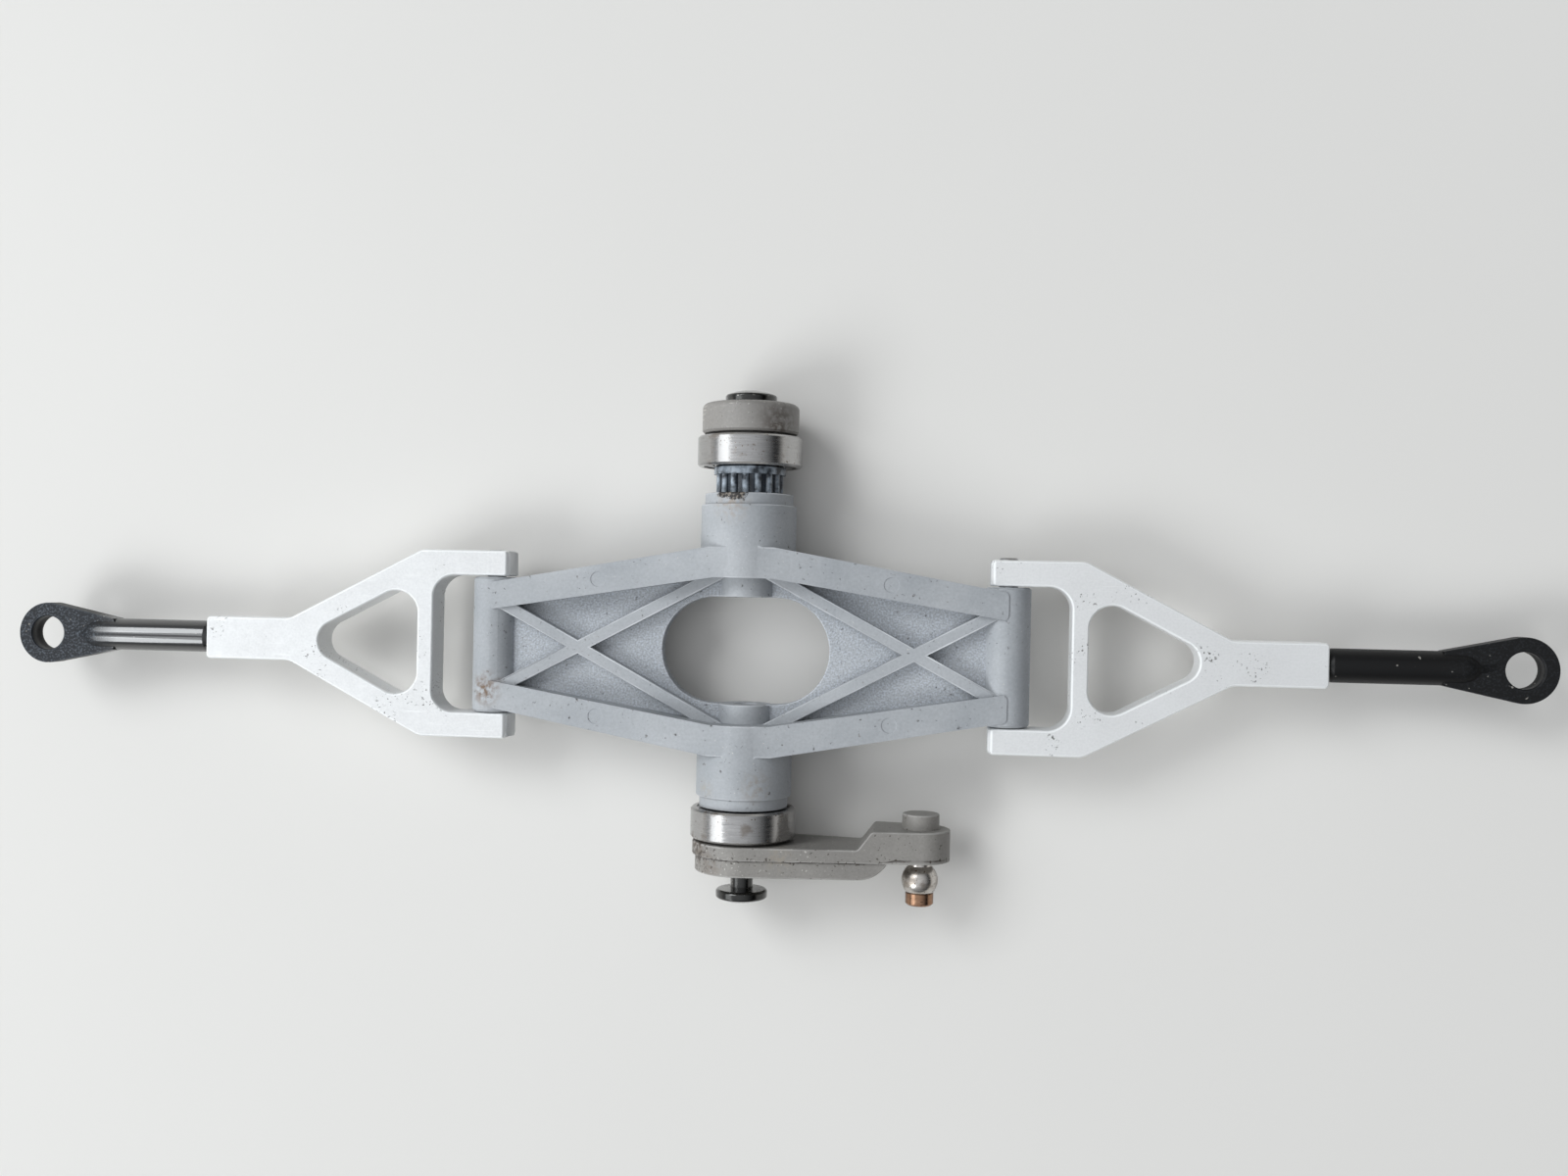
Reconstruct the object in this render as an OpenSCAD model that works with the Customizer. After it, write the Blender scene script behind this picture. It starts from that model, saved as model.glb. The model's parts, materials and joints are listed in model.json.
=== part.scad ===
// See-saw control yoke with two hinged forked arms, ball links and trunnion bearings.
// X runs from hinge barrel to hinge barrel, Y along the trunnions, Z through the shaft slot.
// The origin is where the trunnion axis crosses the middle of the shaft slot.

/* [Yoke] */
// Distance between the two hinge axes
hinge_span = 69; // [56:1:84]
// Diameter of the hinge barrels
barrel_d = 6; // [5:0.1:7]
// Length of the hinge barrels
barrel_len = 18.2; // [16.8:0.1:20]
// Chamfer at the ends of the barrels
barrel_chamfer = 0.3; // [0.1:0.05:0.5]
// Centre line to the outer edge of a rail at the trunnion
rail_mid_y = 13.7; // [13:0.1:15.5]
// Centre line to the outer edge of a rail at the barrel
rail_end_y = 8.4; // [7.5:0.1:8.9]
// Length of the straight crown of a rail at the trunnion
rail_crown = 8; // [2:0.5:11]
// Width of a rail at the trunnion
rail_mid_w = 4.1; // [3:0.1:5]
// Width of a rail at the barrel
rail_end_w = 3.7; // [2.5:0.1:5]
// Full height of a rail at the trunnion
rail_mid_h = 12.4; // [9:0.2:12.6]
// Full height of a rail at the barrel
rail_end_h = 6.3; // [6.1:0.1:7]
// Rounding of the rails' ends on the barrels, seen from above
rail_end_r = 0.7; // [0.3:0.1:1.4]
// Thickness of the web
web_t = 2; // [1.2:0.1:3]
// Width of the X ribs
rib_w = 1.6; // [0.8:0.1:2]
// Full height of the X ribs
rib_h = 5.6; // [3:0.2:6]
// Distance from the centre to where the X ribs cross
rib_cross_x = 22.4; // [19:0.2:26]
// Distance from the centre to where the X ribs leave the rail
rib_root_x = 4.4; // [3.6:0.1:6]
// Length of the main shaft slot
slot_len = 22.4; // [16:0.2:24]
// Width of the main shaft slot
slot_w = 14.2; // [10:0.2:15]
// Diameter of the trunnion bosses
boss_d = 12.7; // [12.5:0.1:14]
// Centre line to the shoulder of a trunnion boss
boss_end = 19.3; // [18:0.05:22]
// Diameter of the ring on the end of a boss
ring_d = 11.8; // [11.2:0.1:12.2]
// Length of that ring
ring_len = 1.5; // [1.2:0.1:2.5]
// Diameter of the screw boss between rail and slot
screw_boss_d = 7.1; // [5:0.1:8]
// Distance from the centre to the ejector marks on the rails
ejector_x = 19.4; // [14:0.2:26]
// Diameter of the ejector marks
ejector_d = 2; // [1:0.1:2.5]
// Depth of the ejector marks
ejector_depth = 0.08; // [0.05:0.01:0.3]

/* [Journals] */
// Number of teeth on the splined plug
spline_teeth = 16; // [12:1:18]
// Diameter over the teeth
spline_d = 9; // [8.4:0.1:9.2]
// Radius of one half-round tooth
tooth_r = 0.5; // [0.3:0.05:0.6]
// Length of the splined plug
spline_len = 5; // [4:0.1:6]
// Diameter of the collar that backs the bearing
collar_d = 9.6; // [9.4:0.05:9.7]
// Thickness of the collar
collar_t = 0.95; // [0.6:0.05:1.1]
// How far the cap-side journal stands out of its seat
cap_drawn_out = 3.5; // [0:0.1:4]
// Hexagon at the outer end of a journal, across flats
hex_af = 6.5; // [5.5:0.1:6.8]
// Length of that hexagon
hex_len = 2.5; // [1.5:0.1:3]

/* [Bearings] */
// Bore of the bearings
bearing_bore = 8; // [7.8:0.1:8.2]
// Outer diameter of the bearings
bearing_od = 14; // [13.8:0.1:15]
// Width of the bearings
bearing_w = 4; // [3.6:0.1:5]
// Outer diameter of the inner race
inner_race_od = 9.6; // [9.2:0.1:9.9]
// Inner diameter of the outer race
outer_race_bore = 12.4; // [12.2:0.1:12.8]
// Diameter of a bearing ball
race_ball_d = 1.588; // [1.5:0.004:1.6]
// Number of balls in a bearing
race_balls = 12; // [9:1:14]
// Width of the ball cage
cage_w = 2; // [1.8:0.1:2.6]
// Radial thickness of the ball cage
cage_t = 0.5; // [0.3:0.05:0.6]
// Thickness of a bearing shield
shield_t = 0.2; // [0.15:0.05:0.3]
// Depth of a shield below the face of the bearing
shield_inset = 0.15; // [0.05:0.05:0.3]
// Edge chamfer of the races
race_chamfer = 0.25; // [0.1:0.05:0.4]

/* [Lever and cap] */
// Thickness of the lever hub and of the cap
hub_t = 4; // [3.4:0.1:5]
// Radius of the lever hub
hub_r = 6.7; // [6:0.1:7.2]
// How far the lever's outer layer is drawn in from its outline
hub_layer_inset = 0.4; // [0.1:0.05:0.7]
// Height of the small boss that meets the inner race
hub_boss_h = 0.35; // [0.2:0.05:0.6]
// Trunnion axis to the axis of the pivot ball
lever_len = 23.7; // [21:0.1:30]
// Radius of the lever's ball end
lever_end_r = 3.9; // [3.5:0.1:5]
// Thickness of the lever's ball end
lever_end_t = 4.2; // [3.6:0.05:5]
// Inward offset of the ball end from the hub
lever_jog = 2.4; // [1.5:0.1:3.2]
// Trunnion axis to where the jog starts
jog_x = 15.7; // [13:0.1:17]
// How far the outer layer runs on past the start of the jog
layer_past_jog = 2.5; // [0.5:0.1:3]
// Rounding where the outer layer slopes off, as far as the slope has room for it
layer_round = 4.4; // [1:0.1:5]
// Length of the jog's slope, measured along the lever
jog_run = 1.8; // [1:0.1:3]
// Rounding at the foot and at the crest of the jog
jog_r = 0.8; // [0.3:0.05:1.2]
// Diameter of the knob behind the ball
knob_d = 4.9; // [4:0.1:5.6]
// Height of that knob
knob_h = 2; // [1.5:0.05:3]
// Diameter of the bearing cap
cap_d = 12.9; // [12:0.1:13.6]
// Rounding of the outer edges of lever hub and cap
edge_round = 0.8; // [0.3:0.05:1.2]

/* [Screws and pivot ball] */
// Diameter of the trunnion screws
screw_d = 3; // [2.5:0.1:3]
// Length of the trunnion screws under the head
screw_len = 20; // [19:0.5:21]
// Diameter of the screw heads
screw_head_d = 6.9; // [6:0.1:7.2]
// Height of the screw heads
screw_head_h = 1.85; // [1.4:0.05:2.2]
// Thickness of the flange under the dome of a screw head
screw_flange_h = 1.1; // [0.6:0.05:1.3]
// Rounding of the flange's edges
screw_flange_r = 0.4; // [0.1:0.05:0.5]
// Key size of the screw heads
screw_key = 2; // [1.5:0.1:2.5]
// How far the lever-side screw is backed out
lever_screw_out = 2.5; // [0:0.1:2.8]
// Diameter of the pivot ball
ball_d = 4.8; // [4.4:0.1:5.2]
// Diameter of the ball's seating collar
ball_collar_d = 3; // [2.6:0.1:3.4]
// Height of that collar
ball_collar_h = 0.7; // [0.2:0.05:1]
// Diameter of the ball's outer flat
ball_flat_d = 3.4; // [3:0.1:3.6]
// Diameter of the ball screw
ball_screw_d = 2; // [1.6:0.1:2.2]
// Length of the ball screw under the head
ball_screw_len = 10; // [9:0.1:10.6]
// Head diameter of the ball screw
ball_head_d = 3.7; // [3.4:0.1:4]
// Head height of the ball screw
ball_head_h = 1.6; // [1.3:0.1:2.2]
// Key size of the ball screw
ball_key = 1.5; // [1.2:0.1:1.7]

/* [Arms] */
// Thickness of the arm plates
arm_t = 5; // [4.4:0.1:6]
// Width of the fork over its tips
fork_w = 25.3; // [24:0.1:27]
// Side clearance between fork tip and barrel
fork_clear = 0.15; // [0.1:0.05:0.3]
// Length of the tips behind the hinge axis
tip_over = 2.4; // [2.1:0.1:3]
// Hinge axis to the bottom of the fork gap
gap_depth = 8.1; // [7:0.1:10]
// Corner radius of the fork gap
gap_r = 3; // [1.5:0.1:4]
// Width of the bar between fork gap and window
bar_w = 2.2; // [1.6:0.1:3]
// Hinge axis to the bend at the wide end
bend_x = 9.8; // [8:0.1:12]
// Hinge axis to the bend at the stem
stem_x = 28.4; // [26:0.1:32]
// Hinge axis to the end of the stem
stem_end_x = 40.3; // [36:0.1:46]
// Width of the stem
stem_w = 5.8; // [5:0.1:7]
// Width of the window's sloping sides
side_w = 3.05; // [2.4:0.05:4]
// Corner radius of the window at the bar
window_r = 3; // [1.5:0.1:3.4]
// Corner radius of the window at the stem
apex_r = 2.7; // [1.5:0.1:3]
// Rounding of the tips and of the stem's end
corner_r = 0.6; // [0.3:0.05:0.9]
// Rounding of the bends in the outline
bend_r = 3; // [1:0.1:4]
// Chamfer along the hinge end of the tips
tip_chamfer = 0.5; // [0.2:0.1:1]
// Diameter of the hinge pins
pin_d = 2.5; // [2:0.1:2.8]
// How far the left hinge pin stands out at one end
left_pin_proud = 0.1; // [0.05:0.05:0.5]
// How far the right hinge pin stands out at one end
right_pin_proud = 0.3; // [0.05:0.05:0.5]
// How far a hinge pin is sunk at the other end
pin_sunk = 0.2; // [0:0.05:0.5]

/* [Ball links] */
// Hinge axis to the centre of the ball link's eye
eye_x = 64.3; // [58:0.1:68]
// Outer diameter of the eye
eye_d = 8.4; // [7.8:0.1:9.4]
// Thickness of the eye
eye_t = 2.7; // [2.4:0.1:3.4]
// Diameter of the eye's mouth
eye_mouth_d = 4.7; // [4.3:0.1:4.7]
// Chamfer round the mouth
mouth_chamfer = 0.15; // [0.1:0.05:0.5]
// Diameter of the link's shank
shank_d = 4.4; // [4:0.1:4.8]
// Eye centre to where the flat runs out into the shank
flat_x = 9.8; // [9:0.1:11]
// Eye centre to where the shank's nose starts
nose_x = 7.7; // [7:0.1:8.5]
// Length of the shank's rounded nose
nose_len = 3.6; // [3:0.1:4.2]
// Diameter of the threaded stud
stud_d = 2.5; // [2:0.1:2.8]
// Length of the stud inside the arm
stud_in_arm = 8; // [6:0.5:9.5]
// Length of the stud inside the link
stud_in_link = 9; // [6:0.5:10.5]

/* [Clearances] */
// Radial clearance of the hinge pins in the barrels
hinge_clear = 0.05; // [0.02:0.01:0.1]
// Radial clearance of the balls in their races
race_clear = 0.03; // [0.01:0.01:0.05]
// Radial clearance of pressed and screwed pieces
press_clear = 0.01; // [0.005:0.005:0.02]
// Radial clearance of pieces that slide together
slip_clear = 0.05; // [0.03:0.01:0.1]
// Gap between faces that are drawn up against each other
face_gap = 0.1; // [0.05:0.01:0.15]

/* [Hidden] */
$fn = 48;

// Pieces overlap the cuts that open them by this much
cut = 0.5;
// Rounds stand this much proud of their tangents, so that every edge crosses cleanly
tuck = 0.02;
hinge_x = hinge_span / 2;
ring_end = boss_end + ring_len;
socket_floor = ring_end - collar_t - spline_len - face_gap;
screw_r = screw_d / 2;
screw_way_r = screw_r + 2 * slip_clear;
race_gap_mid = (inner_race_od + outer_race_bore) / 4;
groove_r = race_ball_d / 2 + race_clear;
// Heights on a journal, counted outward from the collar's outer face
bearing_z = face_gap;
hub_boss_z = bearing_z + bearing_w + face_gap / 2;
hub_z = hub_boss_z + hub_boss_h;
hub_top_z = hub_z + hub_t;
hex_top_z = bearing_z + bearing_w + hex_len;
// The lever's ball end on the same scale
end_in_z = hub_z - lever_jog;
end_out_z = end_in_z + lever_end_t;
ball_r = ball_d / 2;
ball_seat_h = sqrt(pow(ball_r, 2) - pow(ball_collar_d / 2, 2));
ball_z = end_out_z + ball_collar_h + ball_seat_h;
ball_flat_h = sqrt(pow(ball_r, 2) - pow(ball_flat_d / 2, 2));
// Fork and window of an arm
gap_half = barrel_len / 2 + fork_clear;
window_x = gap_depth + bar_w;
slope = atan2((fork_w - stem_w) / 2, stem_x - bend_x);
side_line = bend_x * sin(slope) + fork_w / 2 * cos(slope) - side_w;
window_half = (side_line - window_x * sin(slope)) / cos(slope);
window_tip_x = side_line / sin(slope);
link_x = stem_end_x + face_gap;
shank_r = shank_d / 2;
eye_r = eye_d / 2;

function unit(v) = v / norm(v);

// Sliver between a corner of an outline and the arc that rounds it
module corner_sliver(before, at, after, r) {
    a = unit(before - at);
    b = unit(after - at);
    half = acos(a * b) / 2;
    centre = at + unit(a + b) * r / sin(half);
    difference() {
        polygon([at + (at - centre) / 2, at + a * r / tan(half), centre, at + b * r / tan(half)]);
        translate(centre) circle(r + tuck / 2);
    }
}

// Places children with Z along the cap-side or the lever-side trunnion, 0 at the collar's face
module on_cap_journal() {
    translate([0, ring_end + cap_drawn_out, 0]) rotate([-90, 0, 0]) children();
}

module on_lever_journal() {
    translate([0, -ring_end, 0]) rotate([90, 0, 0]) children();
}

// ---- yoke frame ----

// Outline of the yoke between the barrels, seen along Z
module yoke_outline() {
    polygon([
        [-hinge_x, rail_end_y], [-rail_crown / 2, rail_mid_y],
        [rail_crown / 2, rail_mid_y], [hinge_x, rail_end_y],
        [hinge_x, -rail_end_y], [rail_crown / 2, -rail_mid_y],
        [-rail_crown / 2, -rail_mid_y], [-hinge_x, -rail_end_y]
    ]);
}

// Outline of the space between the rails
module rail_gap_outline() {
    mid = rail_mid_y - rail_mid_w;
    end = rail_end_y - rail_end_w;
    polygon([
        [-hinge_x - cut, end], [-rail_crown / 2, mid], [rail_crown / 2, mid],
        [hinge_x + cut, end], [hinge_x + cut, -end], [rail_crown / 2, -mid],
        [-rail_crown / 2, -mid], [-hinge_x - cut, -end]
    ]);
}

// What rounds the two corners at each end of the rails
module rail_end_slivers() {
    for (sx = [-1, 1], sy = [-1, 1]) {
        outer = [sx * hinge_x, sy * rail_end_y];
        inner = [sx * hinge_x, sy * (rail_end_y - rail_end_w)];
        corner_sliver([sx * rail_crown / 2, sy * rail_mid_y], outer, inner, rail_end_r);
        corner_sliver(outer, inner, [sx * rail_crown / 2, sy * (rail_mid_y - rail_mid_w)], rail_end_r);
    }
}

// Both rails, highest at the trunnions and sloping down to the barrels
module rails() {
    intersection() {
        linear_extrude(rail_mid_h + 2 * cut, center = true)
            difference() {
                yoke_outline();
                rail_gap_outline();
                rail_end_slivers();
            }
        rotate([90, 0, 0])
            linear_extrude(4 * rail_mid_y, center = true)
                polygon([
                    [-hinge_x, -rail_end_h / 2], [0, -rail_mid_h / 2], [hinge_x, -rail_end_h / 2],
                    [hinge_x, rail_end_h / 2], [0, rail_mid_h / 2], [-hinge_x, rail_end_h / 2]
                ]);
    }
}

// One straight rib from a rail over the crossing to the far barrel
module x_rib(side_x, side_y) {
    root = [side_x * rib_root_x, side_y * (rail_mid_y - rail_mid_w)];
    cross = [side_x * rib_cross_x, 0];
    run = unit(cross - root);
    reach = (hinge_x - rib_root_x) / abs(run[0]);
    across = [-run[1], run[0]] * rib_w / 2;
    start = root - run * rib_w;
    finish = root + run * reach;
    polygon([start + across, start - across, finish - across, finish + across]);
}

module ribs() {
    linear_extrude(rib_h, center = true)
        intersection() {
            yoke_outline();
            union() {
                for (sx = [-1, 1], sy = [-1, 1]) x_rib(sx, sy);
            }
        }
}

module slot_outline() {
    straight = slot_len - slot_w;
    square([straight, slot_w], center = true);
    for (s = [-1, 1]) translate([s * straight / 2, 0]) circle(d = slot_w);
}

// Hinge barrel along Y with chamfered ends
module barrel() {
    rotate([90, 0, 0])
        rotate_extrude()
            polygon([
                [0, -barrel_len / 2], [barrel_d / 2 - barrel_chamfer, -barrel_len / 2],
                [barrel_d / 2, -barrel_len / 2 + barrel_chamfer],
                [barrel_d / 2, barrel_len / 2 - barrel_chamfer],
                [barrel_d / 2 - barrel_chamfer, barrel_len / 2], [0, barrel_len / 2]
            ]);
}

// Star of half-round teeth on a round core, grown all round by grow
module spline_section(grow) {
    pitch_r = spline_d / 2 - tooth_r;
    circle(pitch_r + grow);
    for (i = [0:spline_teeth - 1])
        rotate(i * 360 / spline_teeth) translate([pitch_r, 0]) circle(tooth_r + grow, $fn = 24);
}

// Trunnion boss, its end ring and the screw boss, along Z from the centre line outward
module boss_solid() {
    translate([0, 0, rail_mid_y - rail_mid_w]) cylinder(d = boss_d, h = boss_end - rail_mid_y + rail_mid_w);
    translate([0, 0, boss_end - cut]) cylinder(d = ring_d, h = ring_len + cut);
    cylinder(d = screw_boss_d, h = rail_mid_y - rail_mid_w / 2);
}

// Recess for the collar, splined socket and screw hole of one boss
module boss_cuts() {
    translate([0, 0, ring_end - collar_t])
        cylinder(d = collar_d + 2 * slip_clear, h = collar_t + cut);
    translate([0, 0, socket_floor])
        linear_extrude(ring_end - socket_floor) spline_section(slip_clear);
    cylinder(r = screw_r + press_clear, h = ring_end);
}

// Shallow round marks left by the ejector pins on the upper side
module ejector_marks() {
    fall = (rail_mid_h - rail_end_h) / 2 / hinge_x;
    run = (rail_mid_y - rail_end_y) / (hinge_x - rail_crown / 2);
    mid_y = rail_mid_y - run * (ejector_x - rail_crown / 2) - (rail_mid_w + rail_end_w) / 4;
    for (sx = [-1, 1], sy = [-1, 1])
        translate([sx * ejector_x, sy * mid_y, rail_mid_h / 2 - fall * ejector_x])
            rotate([0, sx * atan(fall), 0])
                translate([0, 0, -ejector_depth]) cylinder(d = ejector_d, h = 1);
}

module yoke_frame() {
    color("#a3a8b2")
    difference() {
        union() {
            rails();
            linear_extrude(web_t, center = true) yoke_outline();
            ribs();
            for (s = [-1, 1]) translate([s * hinge_x, 0, 0]) barrel();
            rotate([-90, 0, 0]) boss_solid();
            rotate([90, 0, 0]) boss_solid();
        }
        linear_extrude(2 * boss_d, center = true) slot_outline();
        for (s = [-1, 1])
            translate([s * hinge_x, 0, 0])
                rotate([90, 0, 0])
                    cylinder(r = pin_d / 2 + hinge_clear, h = barrel_len + 2 * cut, center = true);
        rotate([-90, 0, 0]) boss_cuts();
        rotate([90, 0, 0]) boss_cuts();
        ejector_marks();
    }
}

// ---- journals ----

// Splined plug, collar, bearing seat and hexagon of one journal
module journal() {
    difference() {
        union() {
            translate([0, 0, -collar_t - spline_len]) linear_extrude(spline_len + collar_t / 2)
                spline_section(0);
            translate([0, 0, -collar_t]) cylinder(d = collar_d, h = collar_t);
            cylinder(d = bearing_bore - 2 * press_clear, h = bearing_z + bearing_w);
            cylinder(d = hex_af / cos(30), h = hex_top_z, $fn = 6);
        }
        translate([0, 0, -collar_t - spline_len - cut])
            cylinder(r = screw_way_r, h = hex_top_z + collar_t + spline_len + 2 * cut);
    }
}

module cap_journal() {
    color("#3d4450") on_cap_journal() journal();
}

module lever_journal() {
    color("#3d4450") on_lever_journal() journal();
}

// ---- ball bearings, drawn with their own centre at half width ----

module at_bearing_centre() {
    translate([0, 0, bearing_z + bearing_w / 2]) children();
}

// Ring between two radii with chamfered edges and a ball groove on one wall
module race(r_in, r_out) {
    h = bearing_w / 2;
    c = race_chamfer;
    rotate_extrude()
        difference() {
            polygon([
                [r_in, -h], [r_out - c, -h], [r_out, -h + c], [r_out, h - c], [r_out - c, h], [r_in, h]
            ]);
            translate([race_gap_mid, 0]) circle(groove_r, $fn = 32);
        }
}

module inner_race() {
    color("#c9c9c9") at_bearing_centre() race(bearing_bore / 2, inner_race_od / 2);
}

module outer_race() {
    color("#d2d2d2") at_bearing_centre() race(outer_race_bore / 2, bearing_od / 2);
}

// Two thin discs just inside the faces of a bearing
module shields() {
    r_out = outer_race_bore / 2 - press_clear;
    r_in = inner_race_od / 2 + 3 * slip_clear;
    z = bearing_w / 2 - shield_inset - shield_t;
    color("#8d8f92")
        at_bearing_centre()
            for (s = [0, 1])
                mirror([0, 0, s])
                    translate([0, 0, z])
                        difference() {
                            cylinder(r = r_out, h = shield_t);
                            translate([0, 0, -cut]) cylinder(r = r_in, h = shield_t + 2 * cut);
                        }
}

module ball_ring(r) {
    for (i = [0:race_balls - 1])
        rotate(i * 360 / race_balls) translate([race_gap_mid, 0, 0]) sphere(r, $fn = 24);
}

// Ring that keeps the balls apart, drilled once for each ball
module ball_cage() {
    pocket_r = race_ball_d / 2 + slip_clear;
    color("#b8a06a")
        at_bearing_centre()
            difference() {
                cylinder(r = race_gap_mid + cage_t / 2, h = cage_w, center = true);
                cylinder(r = race_gap_mid - cage_t / 2, h = cage_w + 2 * cut, center = true);
                for (i = [0:race_balls - 1])
                    rotate([0, 90, i * 360 / race_balls]) cylinder(r = pocket_r, h = bearing_od / 2);
            }
}

module race_balls_set() {
    color("#e0e0e0") at_bearing_centre() ball_ring(race_ball_d / 2);
}

module cap_bearing_inner_race() { on_cap_journal() inner_race(); }
module cap_bearing_outer_race() { on_cap_journal() outer_race(); }
module cap_bearing_shields() { on_cap_journal() shields(); }
module cap_bearing_cage() { on_cap_journal() ball_cage(); }
module cap_bearing_balls() { on_cap_journal() race_balls_set(); }
module lever_bearing_inner_race() { on_lever_journal() inner_race(); }
module lever_bearing_outer_race() { on_lever_journal() outer_race(); }
module lever_bearing_shields() { on_lever_journal() shields(); }
module lever_bearing_cage() { on_lever_journal() ball_cage(); }
module lever_bearing_balls() { on_lever_journal() race_balls_set(); }

// ---- cap, lever and their screws ----

// Screw hole and hexagon pocket that fit over the end of a journal
module journal_end_cuts() {
    pocket_h = hex_top_z + face_gap + cut - hub_boss_z;
    translate([0, 0, hub_boss_z - cut]) {
        cylinder(r = screw_way_r, h = hub_top_z);
        cylinder(d = (hex_af + 2 * slip_clear) / cos(30), h = pocket_h, $fn = 6);
    }
}

// Small boss that bears on the inner race only
module race_boss() {
    translate([0, 0, hub_boss_z]) cylinder(d = inner_race_od - 4 * slip_clear, h = hub_boss_h + cut);
}

module bearing_cap() {
    r = cap_d / 2;
    e = edge_round;
    color("#8e8c8b")
        on_cap_journal()
            difference() {
                union() {
                    translate([0, 0, hub_z])
                        rotate_extrude()
                            difference() {
                                polygon([[0, 0], [r - 0.3, 0], [r, 0.3], [r, hub_t], [0, hub_t]]);
                                corner_sliver([r, 0], [r, hub_t], [0, hub_t], e);
                            }
                    race_boss();
                }
                journal_end_cuts();
            }
}

// Outline of the lever seen along the trunnion, drawn in by inset
module lever_outline(inset) {
    r1 = hub_r - inset;
    r2 = lever_end_r - inset;
    lean = acos((r1 - r2) / lever_len);
    circle(r1);
    translate([lever_len, 0]) circle(r2);
    up = [cos(lean), sin(lean)];
    down = [cos(lean), -sin(lean)];
    far = [lever_len, 0];
    polygon([(r1 - tuck) * up, far + (r2 - tuck) * up, far + (r2 - tuck) * down, (r1 - tuck) * down]);
}

// Space inward of the hub, with the sloping jog up to the ball end, seen from above
module jog_relief() {
    x0 = -hub_r - cut;
    foot = [jog_x, hub_z];
    crest = [jog_x + jog_run, end_in_z];
    rotate([90, 0, 0])
        linear_extrude(4 * hub_r, center = true) {
            difference() {
                polygon([[x0, end_in_z - cut], [crest[0], end_in_z - cut], crest, foot, [x0, hub_z]]);
                corner_sliver([x0, hub_z], foot, crest, jog_r);
            }
            corner_sliver(foot, crest, [lever_len, end_in_z], jog_r);
        }
}

// Outer layer of the hub and the arm, which slopes off before the ball end
module hub_layer() {
    x0 = -hub_r - cut;
    base = end_out_z - cut;
    crest = [jog_x + layer_past_jog, hub_top_z];
    drop = hub_top_z - end_out_z;
    foot_x = crest[0] + 0.6 * drop;
    r = min(layer_round, 2 * drop);
    intersection() {
        translate([0, 0, base - cut])
            linear_extrude(hub_top_z - base + 2 * cut) lever_outline(hub_layer_inset);
        rotate([90, 0, 0])
            linear_extrude(4 * hub_r, center = true)
                difference() {
                    polygon([[x0, base], [foot_x, base], [foot_x, end_out_z], crest, [x0, hub_top_z]]);
                    corner_sliver([x0, hub_top_z], crest, [foot_x, end_out_z], r);
                }
    }
}

module lever_arm() {
    color("#8c8a89")
        on_lever_journal()
            difference() {
                union() {
                    difference() {
                        translate([0, 0, end_in_z]) linear_extrude(lever_end_t) lever_outline(0);
                        jog_relief();
                    }
                    hub_layer();
                    race_boss();
                    translate([lever_len, 0, end_in_z - knob_h]) cylinder(d = knob_d, h = knob_h + cut);
                }
                journal_end_cuts();
                translate([lever_len, 0, ball_z + ball_flat_h - ball_screw_len - 0.3])
                    cylinder(d = ball_screw_d + 2 * press_clear, h = ball_screw_len + 1);
            }
}

// Half section of a screw head: a rounded flange under a low dome
module screw_head_section() {
    r = screw_head_d / 2;
    dome_h = screw_head_h - screw_flange_h;
    dome_r = (pow(r, 2) + pow(dome_h, 2)) / (2 * dome_h);
    lean = asin(r / dome_r);
    difference() {
        intersection() {
            square([r, screw_head_h + cut]);
            translate([0, screw_head_h - dome_r]) circle(dome_r, $fn = 96);
        }
        corner_sliver([0, 0], [r, 0], [r, screw_flange_h], screw_flange_r);
        corner_sliver(
            [r, 0], [r, screw_flange_h], [r - cos(lean), screw_flange_h + sin(lean)], screw_flange_r);
    }
}

// Flanged button screw, 0 at the underside of its head
module button_screw() {
    color("#1d1d1f")
        difference() {
            union() {
                rotate_extrude() screw_head_section();
                translate([0, 0, -screw_len]) cylinder(r = screw_r, h = screw_len + cut);
            }
            translate([0, 0, screw_head_h * 0.4])
                cylinder(d = screw_key / cos(30), h = screw_head_h, $fn = 6);
        }
}

module cap_screw() {
    on_cap_journal() translate([0, 0, hub_top_z + face_gap / 2]) button_screw();
}

module lever_screw() {
    on_lever_journal() translate([0, 0, hub_top_z + face_gap / 2 + lever_screw_out]) button_screw();
}

// Drilled ball with a short seating collar and an outer flat
module pivot_ball() {
    color("#b9babb")
        on_lever_journal()
            translate([lever_len, 0, ball_z])
                difference() {
                    union() {
                        intersection() {
                            sphere(ball_r);
                            translate([0, 0, -ball_seat_h])
                                cylinder(r = ball_d, h = ball_seat_h + ball_flat_h);
                        }
                        translate([0, 0, -ball_seat_h - ball_collar_h])
                            cylinder(d = ball_collar_d, h = ball_collar_h + cut);
                    }
                    cylinder(d = ball_screw_d + 2 * slip_clear, h = 2 * ball_d, center = true);
                }
}

module ball_screw() {
    head = ball_head_d / 2;
    color("#9a6a52")
        on_lever_journal()
            translate([lever_len, 0, ball_z + ball_flat_h])
                difference() {
                    union() {
                        translate([0, 0, -ball_screw_len])
                            cylinder(d = ball_screw_d, h = ball_screw_len + cut);
                        rotate_extrude()
                            polygon([
                                [0, 0], [head, 0], [head, ball_head_h - 0.25],
                                [head - 0.25, ball_head_h], [0, ball_head_h]
                            ]);
                    }
                    translate([0, 0, ball_head_h / 2])
                        cylinder(d = ball_key / cos(30), h = ball_head_h, $fn = 6);
                }
}

// ---- hinged arms, drawn with +X away from the yoke and 0 on the hinge axis ----

module on_left_hinge() {
    translate([-hinge_x, 0, 0]) rotate([0, 0, 180]) children();
}

module on_right_hinge() {
    translate([hinge_x, 0, 0]) children();
}

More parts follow.
